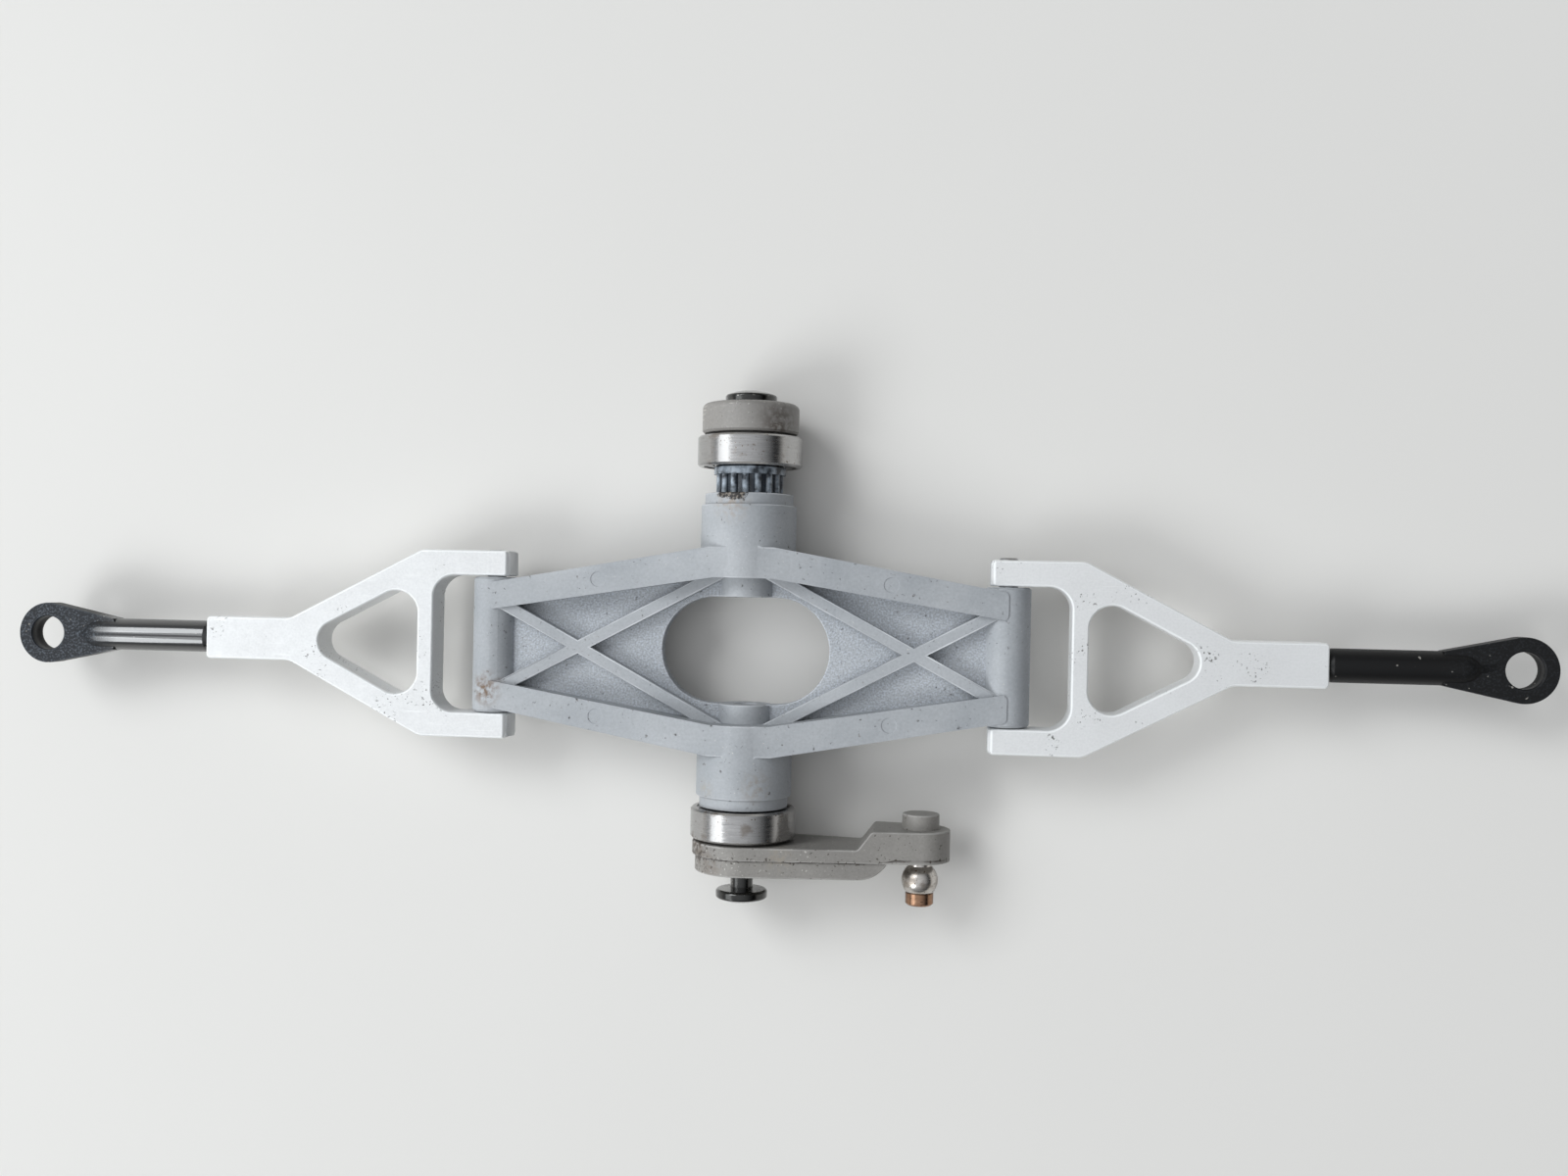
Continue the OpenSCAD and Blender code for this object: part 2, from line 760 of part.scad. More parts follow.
module window_outline() {
    low = [window_x, -window_half];
    high = [window_x, window_half];
    tip = [window_tip_x, 0];
    difference() {
        polygon([low, tip, high]);
        corner_sliver(tip, low, high, window_r);
        corner_sliver(low, high, tip, window_r);
        corner_sliver(high, tip, low, apex_r);
    }
}

module gap_outline() {
    back = -tip_over - 2;
    difference() {
        translate([back, -gap_half]) square([gap_depth - back, 2 * gap_half]);
        for (s = [-1, 1])
            corner_sliver([back, s * gap_half], [gap_depth, s * gap_half], [gap_depth, 0], gap_r);
    }
}

// What is cut away beside the stem on the side m
module flank_outline(m) {
    w = fork_w / 2;
    s = stem_w / 2;
    run = 2;
    over = m * (w + run * tan(slope));
    difference() {
        polygon([
            [bend_x - run, over], [stem_x, m * s], [stem_end_x + 1, m * s], [stem_end_x + 1, over]
        ]);
        corner_sliver([bend_x, m * w], [stem_x, m * s], [stem_end_x, m * s], bend_r);
    }
}

module arm_outline() {
    w = fork_w / 2;
    s = stem_w / 2;
    difference() {
        translate([-tip_over, -w]) square([tip_over + stem_end_x, fork_w]);
        for (m = [-1, 1]) {
            flank_outline(m);
            corner_sliver([-tip_over, 0], [-tip_over, m * w], [bend_x, m * w], corner_r);
            corner_sliver([-tip_over, m * w], [bend_x, m * w], [stem_x, m * s], bend_r);
            corner_sliver([stem_x, m * s], [stem_end_x, m * s], [stem_end_x, 0], corner_r);
        }
        gap_outline();
        window_outline();
    }
}

module arm_plate() {
    color("#dfe4e8")
        difference() {
            intersection() {
                linear_extrude(arm_t, center = true) arm_outline();
                rotate([90, 0, 0])
                    linear_extrude(2 * fork_w, center = true)
                        polygon([
                            [-tip_over, -arm_t / 2 + tip_chamfer], [-tip_over + tip_chamfer, -arm_t / 2],
                            [stem_end_x + 1, -arm_t / 2], [stem_end_x + 1, arm_t / 2],
                            [-tip_over + tip_chamfer, arm_t / 2], [-tip_over, arm_t / 2 - tip_chamfer]
                        ]);
            }
            rotate([90, 0, 0]) cylinder(r = pin_d / 2 + press_clear, h = 2 * fork_w, center = true);
            translate([stem_end_x - stud_in_arm - 0.2, 0, 0])
                rotate([0, 90, 0]) cylinder(r = stud_d / 2 + press_clear, h = stud_in_arm + 1);
        }
}

// Plain pin with chamfered ends, one end proud of the fork and one sunk
module hinge_pin(proud) {
    r = pin_d / 2;
    low = -fork_w / 2 + pin_sunk;
    high = fork_w / 2 + proud;
    c = 0.2;
    color("#a9abad")
        rotate([-90, 0, 0])
            rotate_extrude()
                polygon([
                    [0, low], [r - c, low], [r, low + c], [r, high - c], [r - c, high], [0, high]
                ]);
}

module link_stud() {
    color("#55585c")
        translate([stem_end_x - stud_in_arm, 0, 0])
            rotate([0, 90, 0]) cylinder(d = stud_d, h = stud_in_arm + face_gap + stud_in_link);
}

// Flat of the ball link: round eye with two sides tangent to it that run down to the shank
module link_flat_outline() {
    root = [-flat_x, shank_r];
    reach = norm(root);
    turn = atan2(root[1], root[0]) - acos(eye_r / reach);
    touch = (eye_r - tuck) * [cos(turn), sin(turn)];
    circle(eye_r);
    polygon([root, touch, [touch[0], -touch[1]], [root[0], -root[1]]]);
}

// Ogive nose that runs out of the shank into the flat
module link_nose() {
    arc_r = (pow(nose_len, 2) + pow(shank_r, 2)) / (2 * shank_r);
    rotate_extrude()
        intersection() {
            translate([shank_r - arc_r, 0]) circle(arc_r, $fn = 96);
            square([shank_r, nose_len]);
        }
}

module ball_link() {
    mouth_r = eye_mouth_d / 2;
    c = mouth_chamfer;
    color("#17181a")
        translate([eye_x, 0, 0])
            difference() {
                union() {
                    linear_extrude(eye_t, center = true) link_flat_outline();
                    translate([-nose_x, 0, 0]) rotate([0, 90, 0]) link_nose();
                    translate([link_x - eye_x, 0, 0])
                        rotate([0, 90, 0])
                            rotate_extrude()
                                polygon([
                                    [0, 0], [shank_r - 0.3, 0], [shank_r, 0.6],
                                    [shank_r, eye_x - nose_x - link_x], [0, eye_x - nose_x - link_x]
                                ]);
                }
                rotate_extrude()
                    union() {
                        polygon([
                            [0, -eye_t / 2 - 1], [mouth_r + c + 1, -eye_t / 2 - 1],
                            [mouth_r, -eye_t / 2 + c], [mouth_r, eye_t / 2 - c],
                            [mouth_r + c + 1, eye_t / 2 + 1], [0, eye_t / 2 + 1]
                        ]);
                        intersection() {
                            circle(ball_r + race_clear);
                            translate([0, -ball_d]) square([ball_d, 2 * ball_d]);
                        }
                    }
                translate([link_x - eye_x - 1, 0, 0])
                    rotate([0, 90, 0]) cylinder(r = stud_d / 2 + press_clear, h = stud_in_link + 1.2);
            }
}

module left_arm_plate() { on_left_hinge() arm_plate(); }
module left_hinge_pin() { on_left_hinge() mirror([0, 1, 0]) hinge_pin(left_pin_proud); }
module left_link_stud() { on_left_hinge() link_stud(); }
module left_ball_link() { on_left_hinge() ball_link(); }
module right_arm_plate() { on_right_hinge() arm_plate(); }
module right_hinge_pin() { on_right_hinge() hinge_pin(right_pin_proud); }
module right_link_stud() { on_right_hinge() link_stud(); }
module right_ball_link() { on_right_hinge() ball_link(); }

yoke_frame();
cap_journal();
lever_journal();
cap_bearing_inner_race();
cap_bearing_outer_race();
cap_bearing_shields();
cap_bearing_cage();
cap_bearing_balls();
lever_bearing_inner_race();
lever_bearing_outer_race();
lever_bearing_shields();
lever_bearing_cage();
lever_bearing_balls();
bearing_cap();
cap_screw();
lever_arm();
lever_screw();
pivot_ball();
ball_screw();
left_arm_plate();
left_hinge_pin();
left_link_stud();
left_ball_link();
right_arm_plate();
right_hinge_pin();
right_link_stud();
right_ball_link();
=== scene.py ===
import json
import math

import bmesh
import bpy
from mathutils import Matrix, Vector

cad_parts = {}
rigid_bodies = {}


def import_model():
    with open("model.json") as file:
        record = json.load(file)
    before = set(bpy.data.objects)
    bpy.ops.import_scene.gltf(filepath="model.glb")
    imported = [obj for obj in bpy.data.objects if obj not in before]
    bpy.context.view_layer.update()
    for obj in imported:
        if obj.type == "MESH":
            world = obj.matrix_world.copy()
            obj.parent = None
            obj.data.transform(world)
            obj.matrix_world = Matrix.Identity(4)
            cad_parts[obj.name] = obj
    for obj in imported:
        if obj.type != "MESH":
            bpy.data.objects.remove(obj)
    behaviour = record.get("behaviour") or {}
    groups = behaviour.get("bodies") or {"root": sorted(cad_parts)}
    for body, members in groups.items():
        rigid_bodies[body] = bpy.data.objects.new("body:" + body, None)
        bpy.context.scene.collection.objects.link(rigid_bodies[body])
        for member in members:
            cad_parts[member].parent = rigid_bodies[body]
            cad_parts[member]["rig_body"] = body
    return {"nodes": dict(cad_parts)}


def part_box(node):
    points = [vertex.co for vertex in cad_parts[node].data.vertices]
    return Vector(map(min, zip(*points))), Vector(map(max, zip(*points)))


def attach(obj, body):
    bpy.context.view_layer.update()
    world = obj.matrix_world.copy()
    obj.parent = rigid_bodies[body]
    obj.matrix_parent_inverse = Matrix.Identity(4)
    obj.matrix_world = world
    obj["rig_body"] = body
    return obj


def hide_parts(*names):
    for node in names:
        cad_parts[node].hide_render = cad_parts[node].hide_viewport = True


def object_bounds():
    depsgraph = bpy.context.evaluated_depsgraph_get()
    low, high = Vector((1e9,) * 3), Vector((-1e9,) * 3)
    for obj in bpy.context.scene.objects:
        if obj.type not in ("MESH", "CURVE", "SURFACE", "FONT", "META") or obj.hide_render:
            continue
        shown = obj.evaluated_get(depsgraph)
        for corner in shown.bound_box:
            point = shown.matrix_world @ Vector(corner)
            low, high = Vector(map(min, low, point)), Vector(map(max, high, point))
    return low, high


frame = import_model()
cad_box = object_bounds()
nodes = frame["nodes"]
MM = 0.001

# ---- camera ----
# Held flat about 200 mm above the part, a little right of its middle and turned back to it. The
# lens takes in 56 degrees from side to side, so what stands higher looks larger.
camera = bpy.data.objects.new("camera", bpy.data.cameras.new("camera"))
bpy.context.scene.collection.objects.link(camera)
bpy.context.scene.camera = camera
camera.data.angle = math.radians(56.1)
camera.data.clip_start = 5 * MM
camera.location = (26.8 * MM, 9.1 * MM, 195 * MM)
camera.rotation_euler = [math.radians(a) for a in (-0.065, 6.413, 1.196)]
bpy.context.scene.view_settings.view_transform = "Standard"


# ---- bench and studio light ----
# A pale matt bench under the bearings. Two soft boxes stand far out on the left, with a wide gap
# between them, two small lamps stand nearer in that gap, and a dim dome fills the shadows.
def srgb(code):
    """Linear colour of a #rrggbb code."""
    parts = [int(code[i:i + 2], 16) / 255 for i in (1, 3, 5)]
    return [c / 12.92 if c <= 0.04045 else ((c + 0.055) / 1.055) ** 2.4 for c in parts] + [1.0]


def add_node(tree, kind, sockets=None, **settings):
    """Adds a shader node; sockets gives each input a value or the output that feeds it."""
    made = tree.nodes.new("ShaderNode" + kind)
    for name, value in settings.items():
        setattr(made, name, value)
    for name, value in (sockets or {}).items():
        if isinstance(value, bpy.types.NodeSocket):
            tree.links.new(value, made.inputs[name])
        else:
            made.inputs[name].default_value = value
    return made


def noise(tree, place, scale, detail=2.0, seed=None):
    """A cloudy pattern with scale cells to a metre; each seed gives another pattern."""
    sockets = {"Vector": place, "Scale": scale, "Detail": detail}
    if seed is None:
        return add_node(tree, "TexNoise", sockets).outputs["Fac"]
    return add_node(tree, "TexNoise", {"W": seed, **sockets}, noise_dimensions="4D").outputs["Fac"]


def ramp(tree, value, low, high, start=0.0, end=1.0, curve="LINEAR"):
    """Goes from start to end while value goes from low to high, and stays level beyond them."""
    return add_node(tree, "MapRange", {"Value": value, "From Min": low, "From Max": high,
                                       "To Min": start, "To Max": end},
                    interpolation_type=curve).outputs[0]


def maths(tree, operation, *values):
    """The result of one operation on numbers."""
    return add_node(tree, "Math", dict(enumerate(values)), operation=operation).outputs[0]


def vector_maths(tree, operation, *values):
    """The result of one operation on vectors: a number for a length or product, else a vector."""
    made = add_node(tree, "VectorMath", dict(enumerate(values)), operation=operation)
    return made.outputs["Value" if operation in ("DISTANCE", "DOT_PRODUCT", "LENGTH") else "Vector"]


def axis(tree, vector, letter):
    """One of a vector's three numbers."""
    return add_node(tree, "SeparateXYZ", {0: vector}).outputs[letter]


def mix(tree, share, under, over, how="MIX"):
    """Lays a share of one colour over another; each is a #rrggbb code or the output that gives it."""
    under, over = (srgb(c) if isinstance(c, str) else c for c in (under, over))
    return add_node(tree, "Mix", {0: share, 6: under, 7: over},
                    data_type="RGBA", blend_type=how).outputs[2]


def new_material(name):
    """An empty material with its Principled shader, and the coordinates that its patterns read."""
    material = bpy.data.materials.new(name)
    material.use_nodes = True
    tree = material.node_tree
    return material, tree, tree.nodes["Principled BSDF"], add_node(tree, "TexCoord").outputs["Object"]


bench_size = 2.4
bpy.ops.object.select_all(action="DESELECT")
bpy.ops.mesh.primitive_plane_add(size=bench_size, location=(0, 0, cad_box[0].z))
bench = bpy.context.object
bench.name = "bench"
bench_paint, tree, shader, place = new_material("bench_matt_paint")
shade = mix(tree, noise(tree, place, 9.0, 3.0), "#dddbd7", "#e3e1dd")
tree.links.new(shade, shader.inputs["Base Color"])
shader.inputs["Roughness"].default_value = 0.85
bench.data.materials.append(bench_paint)

studio = bpy.data.worlds.new("studio")
bpy.context.scene.world = studio
studio.use_nodes = True
tree = studio.node_tree
sky = tree.nodes["Background"]
brightest_from = (-0.3, 0.05, 0.95)
direction = add_node(tree, "TexCoord").outputs["Generated"]
rise = ramp(tree, vector_maths(tree, "DOT_PRODUCT", direction, brightest_from), 0.2, 1.0)
dome = mix(tree, rise, "#2b2c2e", "#f4f7fb")
# The studio's walls are pale to the eye, and in gloss near the horizon, but light nothing.
low_down = ramp(tree, axis(tree, direction, "Z"), 0.08, 0.3, 1.0, 0.0)
ray = add_node(tree, "LightPath").outputs
mirrored = maths(tree, "MAXIMUM", ray["Is Glossy Ray"], ray["Is Transmission Ray"])
mirrored = maths(tree, "MULTIPLY", mirrored, low_down)
seen = maths(tree, "MAXIMUM", ray["Is Camera Ray"], mirrored)
tree.links.new(mix(tree, seen, dome, "#e6e5e2"), sky.inputs["Color"])
sky.inputs["Strength"].default_value = 0.9

cool_white = (0.95, 0.98, 1.0)
for name, spot, wide, deep, watts in (("soft_box_back", (-1010, 850, 1190), 760, 760, 12.2),
                                      ("soft_box_front", (-1080, -900, 1130), 760, 760, 12.2),
                                      ("small_lamp_back", (-236, 60, 185), 62, 150, 0.06),
                                      ("small_lamp_front", (-236, -78, 185), 62, 150, 0.06)):
    lamp = bpy.data.objects.new(name, bpy.data.lights.new(name, "AREA"))
    bpy.context.scene.collection.objects.link(lamp)
    lamp.data.shape = "RECTANGLE"
    lamp.data.size = wide * MM
    lamp.data.size_y = deep * MM
    lamp.data.energy = watts
    lamp.data.color = cool_white
    lamp.location = Vector(spot) * MM
    lamp.rotation_euler = (-Vector(spot)).to_track_quat("-Z", "Y").to_euler()


# ---- yoke frame ----
# The rocking yoke is one moulding in grey glass-filled nylon. The mould leaves every edge softened,
# the web between the rails is grainy, and years of use have rubbed the edges and left stains.
def show(obj, material):
    """Gives an object one material."""
    obj.data.materials.clear()
    obj.data.materials.append(material)


def soft_edged(node, name, edge, within=200):
    """A copy of a CAD node with its outer edges rounded by up to edge mm, in the node's place.

    The edges of narrow faces are rounded less, and those farther than within mm to the left or the
    right stay sharp. The rounded faces get the value 1 in the face attribute "worn"."""
    weld_mm, flat_angle, sharp_angle, smooth_angle = 0.02, 0.2, 25, 40
    piece = bpy.data.objects.new(name, nodes[node].data.copy())
    bpy.context.scene.collection.objects.link(piece)
    bpy.ops.object.select_all(action="DESELECT")
    piece.select_set(True)
    bpy.context.view_layer.objects.active = piece
    bpy.ops.object.mode_set(mode="EDIT")
    bpy.ops.mesh.select_all(action="SELECT")
    bpy.ops.mesh.customdata_custom_splitnormals_clear()
    bpy.ops.mesh.remove_doubles(threshold=weld_mm * MM)
    bpy.ops.mesh.dissolve_limited(angle_limit=math.radians(flat_angle))
    bpy.ops.object.mode_set(mode="OBJECT")

    # An edge is rounded in full where both its faces are at least room wide.
    mesh = bmesh.new()
    mesh.from_mesh(piece.data)
    weight = mesh.edges.layers.float.new("bevel_weight_edge")
    room = 4 * edge * MM
    for side in mesh.edges:
        if side.is_convex and side.calc_face_angle(0) > math.radians(sharp_angle):
            start, end = (v.co for v in side.verts)
            if max(abs(start.x), abs(end.x)) < within * MM:
                along = (end - start).normalized()
                widths = [max((v.co - start).cross(along).length for v in f.verts)
                          for f in side.link_faces]
                side[weight] = min(1.0, min(widths) / room)
    mesh.to_mesh(piece.data)
    mesh.free()

    # The bevel puts its faces in the second of two empty material slots, which marks them.
    show(piece, None)
    piece.data.materials.append(None)
    bevel = piece.modifiers.new("edges", "BEVEL")
    bevel.width = edge * MM
    bevel.segments = 2
    bevel.limit_method = "WEIGHT"
    bevel.use_clamp_overlap = False
    bevel.harden_normals = True
    bevel.material = 1
    bpy.ops.object.shade_smooth_by_angle(angle=math.radians(smooth_angle))
    bpy.ops.object.modifier_apply(modifier=bevel.name)

    mesh = bmesh.new()
    mesh.from_mesh(piece.data)
    worn = mesh.faces.layers.float.new("worn")
    for face in mesh.faces:
        face[worn] = face.material_index
        face.material_index = 0
    mesh.to_mesh(piece.data)
    mesh.free()
    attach(piece, nodes[node]["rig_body"])
    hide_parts(node)
    return piece


def set_relief(tree, shader, height, strength, depth):
    """Raises the surface by depth mm where height is 1, with a strength from 0 to 1."""
    bump = add_node(tree, "Bump", {"Height": height, "Strength": strength, "Distance": depth * MM})
    tree.links.new(bump.outputs[0], shader.inputs["Normal"])


nylon_ior = 1.53


def moulded_nylon(name, deep, pale, rubbed, dirt, dusty):
    """Moulded nylon with cloudy colour, rubbed edges and a fine grain; dusty, 0 to 0.1, adds specks.

    Gives the material, its tree, shader and coordinates, the colour so far and the grain."""
    material, tree, shader, place = new_material(name)
    # Clouds about 8 mm across, where the glass filling lies differently under the skin.
    cloud = noise(tree, place, 125.0, 4.0)
    body = mix(tree, ramp(tree, cloud, 0.3, 0.7), deep, pale)
    # The skin's grain is about 0.1 mm; it is drawn at 0.35 mm so that it shows.
    grain = noise(tree, place, 2900.0)
    body = mix(tree, 1.0, body, ramp(tree, grain, 0.3, 0.7, 0.93, 1.05), "MULTIPLY")
    # Outer edges are rubbed paler, in patches 3 mm long.
    edge = add_node(tree, "Attribute", attribute_name="worn").outputs["Fac"]
    patch = ramp(tree, noise(tree, place, 330.0), 0.35, 0.65, 0.15, 0.85)
    body = mix(tree, maths(tree, "MULTIPLY", patch, edge), body, rubbed)
    # Specks of dirt and of dust, 0.1 to 0.2 mm, gather in drifts about 15 mm across.
    for seed, speck_colour, least in ((0.0, dirt, 0.72), (7.0, "#d9d6cf", 0.71)):
        drift = ramp(tree, noise(tree, place, 70.0, seed=seed + 2.0), 0.4, 0.6)
        speck = ramp(tree, noise(tree, place, 3100.0, 1.0, seed), least - dusty, least - dusty + 0.06,
                     end=0.7)
        body = mix(tree, maths(tree, "MULTIPLY", speck, drift), body, speck_colour)
    tree.links.new(ramp(tree, cloud, 0.3, 0.7, 0.42, 0.56), shader.inputs["Roughness"])
    shader.inputs["IOR"].default_value = nylon_ior
    return material, tree, shader, place, body, grain


def stain(tree, place, under, spot, reach, colour, strength):
    """Lays a soft-edged, blotchy stain of reach mm round a spot over the colour under it."""
    away = vector_maths(tree, "DISTANCE", place, Vector(spot) * MM)
    near = ramp(tree, away, 0.0, reach * MM, strength, 0.0, "SMOOTHSTEP")
    blotch = ramp(tree, noise(tree, place, 1300.0, 4.0), 0.4, 0.6)
    return mix(tree, maths(tree, "MULTIPLY", near, blotch), under, colour)


yoke_nylon, tree, shader, place, colour, grain = moulded_nylon(
    "grey_glass_filled_nylon", "#9da1a5", "#afb2b5", "#c8cbce", "#6a6057", 0.0)
# Brown stains of oil and dust, each with its place and its reach in mm.
yoke_low, yoke_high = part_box("yoke_frame")
for spot, reach, shade, strength in (
        ((-34.9, -6.0, 2.7), 3.3, "#6e5640", 1.0),
        ((-1.5, yoke_high.y / MM - 1.5, 5.8), 3.4, "#97836c", 0.55),
        ((2.4, yoke_low.y / MM + 3.2, 5.6), 3.0, "#8d7c68", 0.5),
        ((-4.5, yoke_low.y / MM + 2.6, 4.4), 2.2, "#a59a86", 0.4)):
    colour = stain(tree, place, colour, spot, reach, shade, strength)
# Grease and grit that the splined plug has pushed out over the mouth of the cap-side boss. Its
# scales, per metre, make the smear reach about 2.4 mm to each side and 1.4 mm along.
mouth = Vector((-1.4 * MM, yoke_high.y, 0))
smear_scale = (420.0, 700.0, 0.0)
off_mouth = vector_maths(tree, "SUBTRACT", place, mouth)
off_mouth = vector_maths(tree, "LENGTH", vector_maths(tree, "MULTIPLY", off_mouth, smear_scale))
near = ramp(tree, off_mouth, 0.2, 1.25, 0.5, 0.0, "SMOOTHSTEP")
smeared = ramp(tree, maths(tree, "ADD", noise(tree, place, 1500.0, 3.0), near), 0.66, 0.78)
grit = ramp(tree, noise(tree, place, 2600.0, 1.0), 0.5, 0.68)
colour = mix(tree, smeared, colour, mix(tree, grit, "#17110d", "#7d756b"))
# The web, whose faces lie 1 mm from the middle, has the mould's coarse grain, 0.2 mm across, painted
# into
# its colour: the pale grains are painted glints and the dark grains are specks; the rest is smoother.
depth = maths(tree, "ABSOLUTE", axis(tree, place, "Z"))
web = ramp(tree, depth, 1.05 * MM, 1.3 * MM, 1.0, 0.0)
sparkle = noise(tree, place, 4000.0)
# The pale tone is a painted glint, the dark tone a speck in the nylon.
for limit, most, tone in ((0.64, 0.4, "#c8d1e0"), (0.36, 0.35, "#6e7480")):
    painted_glint_and_speck = ramp(tree, sparkle, 0.5, limit, end=most)
    colour = mix(tree, maths(tree, "MULTIPLY", painted_glint_and_speck, web), colour, tone)
tree.links.new(colour, shader.inputs["Base Color"])
relief = maths(tree, "MULTIPLY_ADD", sparkle, web, maths(tree, "MULTIPLY", grain, 0.3))
set_relief(tree, shader, relief, 0.6, 0.03)
# The hinge barrels' outer halves sit between the fork tips, and their edges stay sharp.
rounded_to_x = 33.8
yoke = soft_edged("yoke_frame", "yoke", 0.18, within=rounded_to_x)
show(yoke, yoke_nylon)


# ---- splined journals ----
# Each trunnion ends in a dark nylon plug with sixteen teeth, pressed in its boss. The cap-side plug
# has crept out, and its teeth are wet with grease; where wet, the crests carry a painted highlight.
journal_nylon, tree, shader, place = new_material("greased_dark_nylon")
wet = noise(tree, place, 900.0, 4.0)
film = ramp(tree, wet, 0.38, 0.62)
# The teeth stand between 4.1 and 4.5 mm from the axis; where grease lies, their crests are painted
# pale, a painted highlight, over the dark nylon of the roots.
off_axis = vector_maths(tree, "LENGTH", vector_maths(tree, "MULTIPLY", place, (1.0, 0.0, 1.0)))
crest_highlight = ramp(tree, off_axis, 4.15 * MM, 4.45 * MM, 0.1, 1.0)
base = mix(tree, maths(tree, "MULTIPLY", crest_highlight, film), "#262d35", "#a3aeb9")
tree.links.new(base, shader.inputs["Base Color"])
tree.links.new(ramp(tree, film, 0.0, 1.0, 0.4, 0.16), shader.inputs["Roughness"])
set_relief(tree, shader, wet, 0.6, 0.08)
shader.inputs["IOR"].default_value = nylon_ior
for node in ("cap_journal", "lever_journal"):
    show(nodes[node], journal_nylon)


# ---- ball bearings ----
# Two 8 x 14 x 4 mm bearings of hardened steel. Their rims are ground in fine rings and polished,
# the shields are pressed sheet, the cage is brass and the balls are mirror bright.
def turned_metal(name, dark, light, shine, ring_scale, tarnish, spread):
    """Bare metal ground or turned round the Y axis, with smudges of tarnish and grit on it.

    shine is its least roughness. The rings are ring_scale times finer along the axis than across
    it, and a larger spread, 0.3 to 0.5, lets the smudges cover more."""
    material, tree, shader, place = new_material(name)
    shader.inputs["Metallic"].default_value = 1.0
    # Rings left by the wheel are 0.02 mm apart; they are drawn about 0.1 mm apart so that they show.
    along = vector_maths(tree, "MULTIPLY", place, (1.0, ring_scale, 1.0))
    rings = noise(tree, along, 500.0, 3.0)
    smudge = ramp(tree, noise(tree, place, 420.0, 5.0), 1.0 - spread, 1.1 - spread)
    grit = ramp(tree, noise(tree, place, 3600.0, 1.0), 0.68, 0.74)
    foul = maths(tree, "MAXIMUM", maths(tree, "MULTIPLY", smudge, 0.55), grit)
    metal = mix(tree, foul, mix(tree, rings, dark, light), tarnish)
    tree.links.new(metal, shader.inputs["Base Color"])
    gloss = ramp(tree, rings, 0.3, 0.7, shine, shine + 0.1)
    gloss = maths(tree, "MULTIPLY_ADD", foul, 0.3, gloss)
    tree.links.new(gloss, shader.inputs["Roughness"])
    set_relief(tree, shader, rings, 0.25, 0.01)
    return material


race_steel = turned_metal("ground_bearing_steel", "#9b9a99", "#c4c3c2", 0.17, 14.0, "#75675a", 0.42)
shield_steel = turned_metal("pressed_shield_steel", "#8c8d8f", "#a9aaab", 0.3, 1.0, "#6d6155", 0.45)
cage_brass = turned_metal("pressed_cage_brass", "#a98e55", "#c7ad72", 0.3, 1.0, "#6f5a38", 0.4)
ball_steel = turned_metal("lapped_ball_steel", "#d5d5d4", "#e4e4e3", 0.06, 1.0, "#a59d93", 0.3)
for side in ("cap", "lever"):
    for ring, metal in (("inner_race", race_steel), ("outer_race", race_steel),
                        ("shields", shield_steel), ("cage", cage_brass), ("balls", ball_steel)):
        show(nodes[side + "_bearing_" + ring], metal)


# ---- bearing cap and lever ----
# Both are moulded in a warmer grey nylon, and are dusty. The cap is a plain disc over the end of
# its journal; the lever is made in two halves of the mould, whose parting line holds dirt and is
# painted dark as shade in its crease.
cap_nylon, tree, shader, place, colour, grain = moulded_nylon(
    "dusty_cap_nylon", "#84817d", "#96938f", "#b0ada8", "#453a31", 0.04)
cap_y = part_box("bearing_cap")[0].y / MM
# A dark brown patch, 4.4 mm in reach, darkens the cap's rim towards its upper right.
colour = stain(tree, place, colour, (4.6, cap_y + 1.2, 4.6), 4.4, "#4c4039", 0.8)
# Pale scuffs 2 mm long and 0.15 mm wide run round the rim, where it has been knocked.
across = vector_maths(tree, "MULTIPLY", place, (0.35, 4.0, 0.35))
scuff = ramp(tree, noise(tree, across, 1100.0), 0.62, 0.68, end=0.75)
knocked = ramp(tree, noise(tree, place, 190.0, 1.0), 0.48, 0.58)
colour = mix(tree, maths(tree, "MULTIPLY", scuff, knocked), colour, "#cfcac2")
tree.links.new(colour, shader.inputs["Base Color"])
set_relief(tree, shader, grain, 0.3, 0.02)
show(nodes["bearing_cap"], cap_nylon)

lever_nylon, tree, shader, place, colour, grain = moulded_nylon(
    "dusty_lever_nylon", "#807d79", "#918e89", "#b0aeaa", "#42382f", 0.04)
# The hub is 4 mm thick, and its stains are placed from about its middle.
hub_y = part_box("lever_arm")[0].y / MM + 2.2
for spot, reach, shade, strength in (((-5.6, hub_y + 1.2, 3.4), 3.2, "#5d4c3d", 0.8),
                                     ((-3.5, hub_y - 0.8, 5.2), 2.6, "#6b5d50", 0.6),
                                     ((5.5, hub_y + 0.6, 5.0), 2.6, "#a89a83", 0.45)):
    colour = stain(tree, place, colour, spot, reach, shade, strength)
# The parting line is a 0.15 mm groove, painted darker all along as shade in the crease, and darker
# still where dirt fills it in places. It climbs 0.5 mm at the ball end.
hub_line_y, ball_line_y = -27.1, -26.6
climb_start_x, climb_end_x = 18.0, 20.5
where = add_node(tree, "SeparateXYZ", {0: place}).outputs
line_y = ramp(tree, where["X"], climb_start_x * MM, climb_end_x * MM, hub_line_y * MM, ball_line_y * MM)
off_line = maths(tree, "ABSOLUTE", maths(tree, "SUBTRACT", where["Y"], line_y))
groove = ramp(tree, off_line, 0.04 * MM, 0.13 * MM, 1.0, 0.0)
dirt_and_shade_in_groove = ramp(tree, noise(tree, place, 420.0, 3.0), 0.42, 0.6, 0.15, 0.95)
colour = mix(tree, maths(tree, "MULTIPLY", groove, dirt_and_shade_in_groove), colour, "#2e2620")
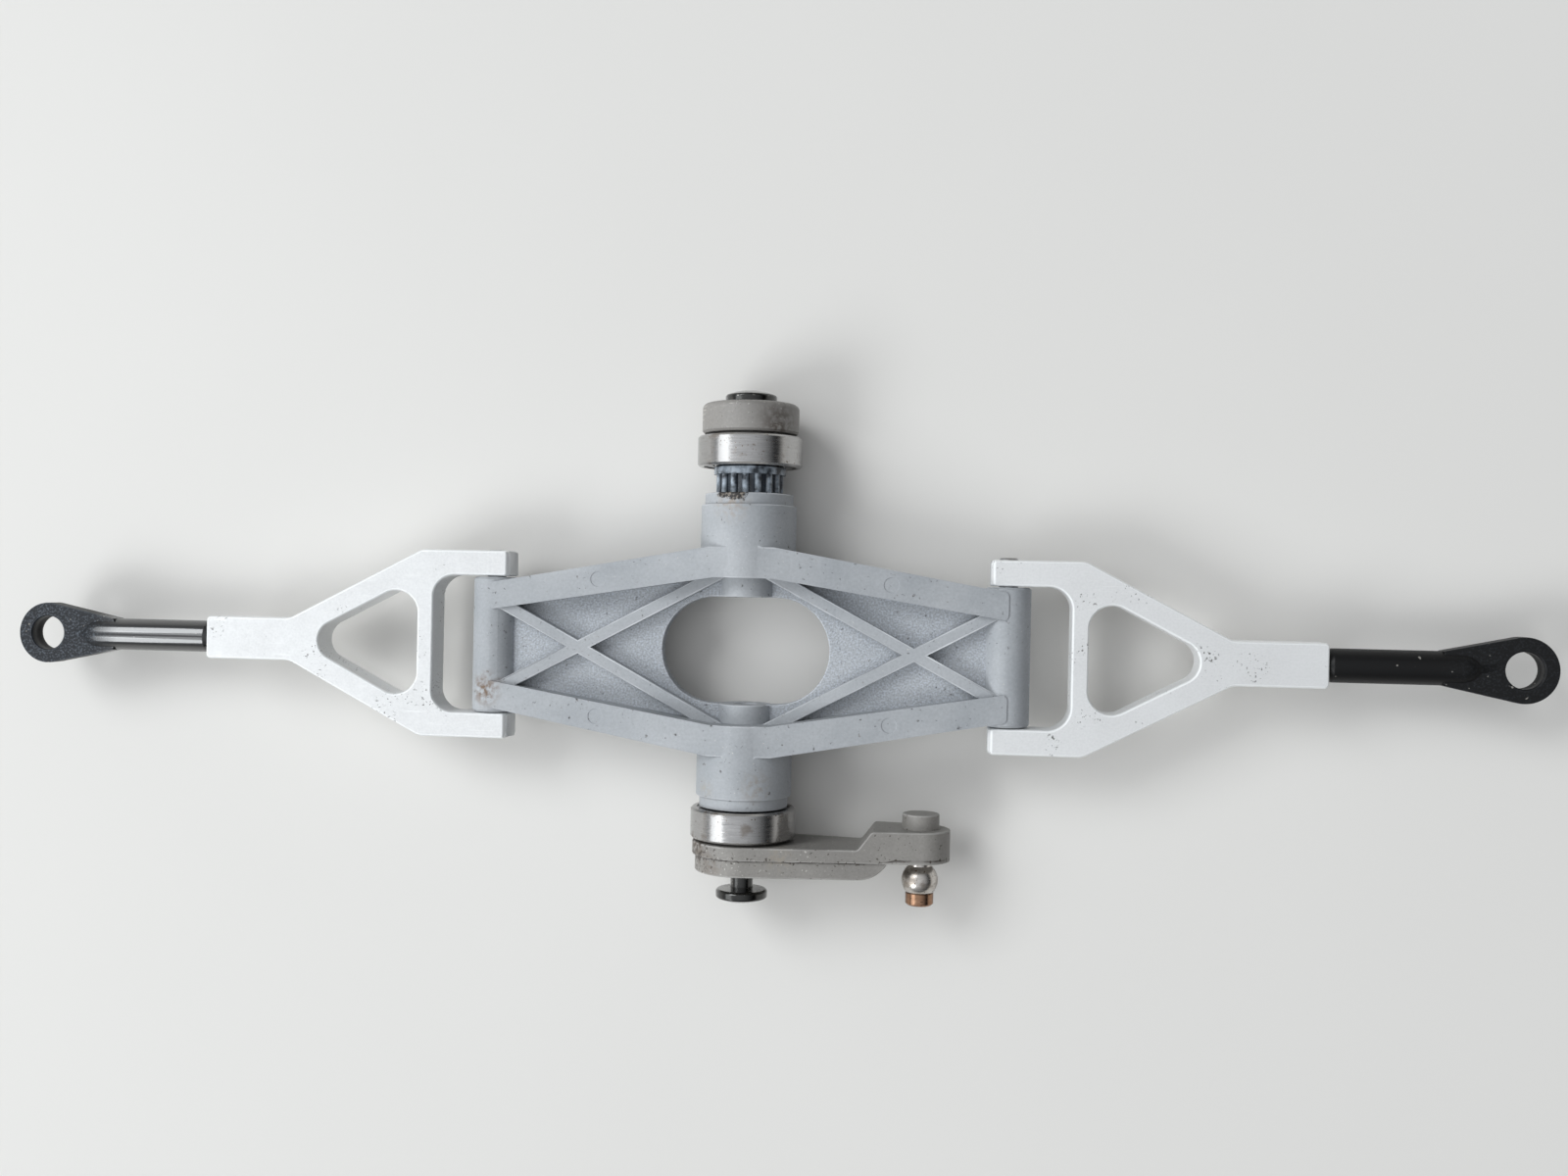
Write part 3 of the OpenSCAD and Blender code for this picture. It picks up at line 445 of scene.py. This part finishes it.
# Crumbs of dirt, 0.3 mm across, cling beside the line and round the hub's left end.
beside = ramp(tree, off_line, 0.0, 0.6 * MM, 0.1, 0.0)
off_hub = vector_maths(tree, "DISTANCE", place, Vector((-6.2, hub_y + 1.4, 2.6)) * MM)
at_hub = ramp(tree, off_hub, 0.0, 7.5 * MM, 0.19, 0.0)
crumb = maths(tree, "ADD", noise(tree, place, 2300.0), beside)
crumb = ramp(tree, maths(tree, "ADD", crumb, at_hub), 0.68, 0.73, end=0.85)
colour = mix(tree, crumb, colour, "#3a3028")
tree.links.new(colour, shader.inputs["Base Color"])
set_relief(tree, shader, maths(tree, "MULTIPLY_ADD", groove, -2.0, grain), 0.35, 0.03)
lever = soft_edged("lever_arm", "lever", 0.2)
show(lever, lever_nylon)


# ---- trunnion screws ----
# Two M3 flanged button screws with a black oxide finish and a film of oil. The lever's screw has
# backed out, so its plain shank shows.
black_oxide, tree, shader, place = new_material("black_oxide_screw_steel")
oil = noise(tree, place, 800.0, 4.0)
rubbed = ramp(tree, noise(tree, place, 1500.0), 0.66, 0.72)
skin = mix(tree, rubbed, mix(tree, oil, "#1d1d1b", "#323230"), "#8b8983")
tree.links.new(skin, shader.inputs["Base Color"])
shader.inputs["Metallic"].default_value = 1.0
shader.inputs["Coat Weight"].default_value = 1.0
shader.inputs["Coat Roughness"].default_value = 0.12
tree.links.new(ramp(tree, oil, 0.3, 0.7, 0.17, 0.32), shader.inputs["Roughness"])
set_relief(tree, shader, oil, 0.2, 0.03)
for node in ("cap_screw", "lever_screw"):
    show(nodes[node], black_oxide)


# ---- pivot ball and its screw ----
# A turned steel ball on the lever's tip, held by a small cap screw whose copper flash has gone
# brown.
pivot_steel = turned_metal("turned_pivot_ball_steel", "#b3aea8", "#dcd8d3", 0.18, 10.0, "#64523f", 0.47)
show(nodes["pivot_ball"], pivot_steel)
copper_flash = turned_metal("copper_flashed_screw_steel", "#7f5e48", "#b28f76", 0.17, 4.0, "#4d3a2e",
                            0.46)
show(nodes["ball_screw"], copper_flash)


# ---- hinged arms ----
# Each arm is a 5 mm plate of aluminium, machined, tumbled to a satin skin and cleaned. It shows
# faint crossing scratches, small pits, and burnished edges, which are also painted paler as a painted
# edge highlight. Pins and studs are plain steel.
satin_aluminium, tree, shader, place = new_material("tumbled_satin_aluminium")
shader.inputs["Metallic"].default_value = 1.0
metal = mix(tree, noise(tree, place, 160.0, 4.0), "#e5e5e5", "#eeefef")
burnished_edge_highlight = add_node(tree, "Attribute", attribute_name="worn").outputs["Fac"]
# The rounded edges are painted paler: burnished metal, and a painted edge highlight.
metal = mix(tree, burnished_edge_highlight, metal, "#f3f4f4")
# The tumbled skin is pitted at about 0.05 mm; it is drawn at 0.3 mm so that it shows.
skin = noise(tree, place, 3300.0)
pits = ramp(tree, noise(tree, place, 3000.0), 0.63, 0.68, end=0.9)
# They come in clusters about 5 mm across, and some hold dirt.
cluster = ramp(tree, noise(tree, place, 200.0, 1.0), 0.6, 0.68)
metal = mix(tree, maths(tree, "MULTIPLY", pits, cluster), metal, "#6d6b68")
tree.links.new(metal, shader.inputs["Base Color"])
gloss = ramp(tree, skin, 0.3, 0.7, 0.76, 0.88)
height = skin
# Scratches 3 to 6 mm long and 0.1 mm wide, in two directions.
for turn, seed in ((0.5, 1.0), (-0.9, 5.0)):
    laid = add_node(tree, "Mapping", {"Vector": place, "Rotation": (0.0, 0.0, turn),
                                      "Scale": (0.12, 4.5, 1.0)}).outputs[0]
    scratch = ramp(tree, noise(tree, laid, 1200.0, 1.0, seed), 0.67, 0.72)
    gloss = maths(tree, "MULTIPLY_ADD", scratch, -0.15, gloss)
    height = maths(tree, "MULTIPLY_ADD", scratch, -1.2, height)
tree.links.new(gloss, shader.inputs["Roughness"])
set_relief(tree, shader, height, 0.35, 0.012)
for side in ("left", "right"):
    plate = soft_edged(side + "_arm_plate", side + "_arm", 0.3)
    show(plate, satin_aluminium)

pin_steel = turned_metal("ground_pin_steel", "#8f9092", "#aeb0b2", 0.22, 1.0, "#6a5c4e", 0.45)
stud_steel = turned_metal("plated_stud_steel", "#77797c", "#999b9d", 0.32, 1.0, "#5d554c", 0.45)
for side in ("left", "right"):
    show(nodes[side + "_hinge_pin"], pin_steel)
    show(nodes[side + "_link_stud"], stud_steel)


# ---- ball links ----
# Each link is moulded in black nylon over the arm's stud. The left one has a glossy shank and a
# scuffed, grainy eye; the right one is dull all over. On both, the eye's flat faces and rim are
# painted paler as a painted sheen, and the rim is also scuffed.
def link_nylon(name, shank, eye_flat_sheen, scuff, film):
    """Black nylon, dull and scuffed at the eye, with a painted sheen on the eye's flat faces and rim,
    and a film of oil, 0 to 1, along the shank.
    """
    material, tree, shader, place = new_material(name)
    shank_end_x, eye_start_x = 88.0, 92.0
    reach = maths(tree, "ABSOLUTE", axis(tree, place, "X"))
    at_eye = ramp(tree, reach, shank_end_x * MM, eye_start_x * MM)
    # Grains of the worn skin, 0.2 mm across, are painted pale on the eye's flat faces only, and those
    # faces get the paler eye colour: a painted sheen on the faces that catch the light.
    grain = noise(tree, place, 3900.0)
    upward = maths(tree, "ABSOLUTE", axis(tree, add_node(tree, "NewGeometry").outputs["Normal"], "Z"))
    sheen_on_flats = maths(tree, "MULTIPLY", ramp(tree, upward, 0.6, 0.95), at_eye)
    fleck_sheen = maths(tree, "MULTIPLY", ramp(tree, grain, 0.5, 0.72), sheen_on_flats)
    base = mix(tree, fleck_sheen, mix(tree, sheen_on_flats, shank, eye_flat_sheen), scuff)
    edge = add_node(tree, "Attribute", attribute_name="worn").outputs["Fac"]
    # The eye's rounded rim is painted paler: scuffs, and a painted highlight.
    edge_wear_and_sheen = maths(tree, "MULTIPLY", maths(tree, "MULTIPLY", edge, at_eye), 0.4)
    base = mix(tree, edge_wear_and_sheen, base, scuff)
    dust = ramp(tree, noise(tree, place, 1300.0, 1.0), 0.74, 0.78, end=0.5)
    base = mix(tree, dust, base, "#b9b5ad")
    tree.links.new(base, shader.inputs["Base Color"])
    tree.links.new(ramp(tree, grain, 0.0, 1.0, 0.36, 0.54), shader.inputs["Roughness"])
    tree.links.new(ramp(tree, at_eye, 0.0, 1.0, film, 0.0), shader.inputs["Coat Weight"])
    shader.inputs["Coat Roughness"].default_value = 0.08
    shader.inputs["Coat IOR"].default_value = 1.75
    relief = maths(tree, "MULTIPLY", grain, ramp(tree, at_eye, 0.0, 1.0, 0.1, 0.5))
    set_relief(tree, shader, relief, 0.6, 0.03)
    shader.inputs["IOR"].default_value = nylon_ior
    shader.inputs["Specular IOR Level"].default_value = 0.25
    return material


for side, finish in (
        ("left", link_nylon("oiled_black_link_nylon", "#0a0b0d", "#1c1f24", "#565d65", 1.0)),
        ("right", link_nylon("dull_black_link_nylon", "#0a0a0b", "#0c0d0e", "#222427", 0.0))):
    link = soft_edged(side + "_ball_link", side + "_link", 0.12)
    show(link, finish)
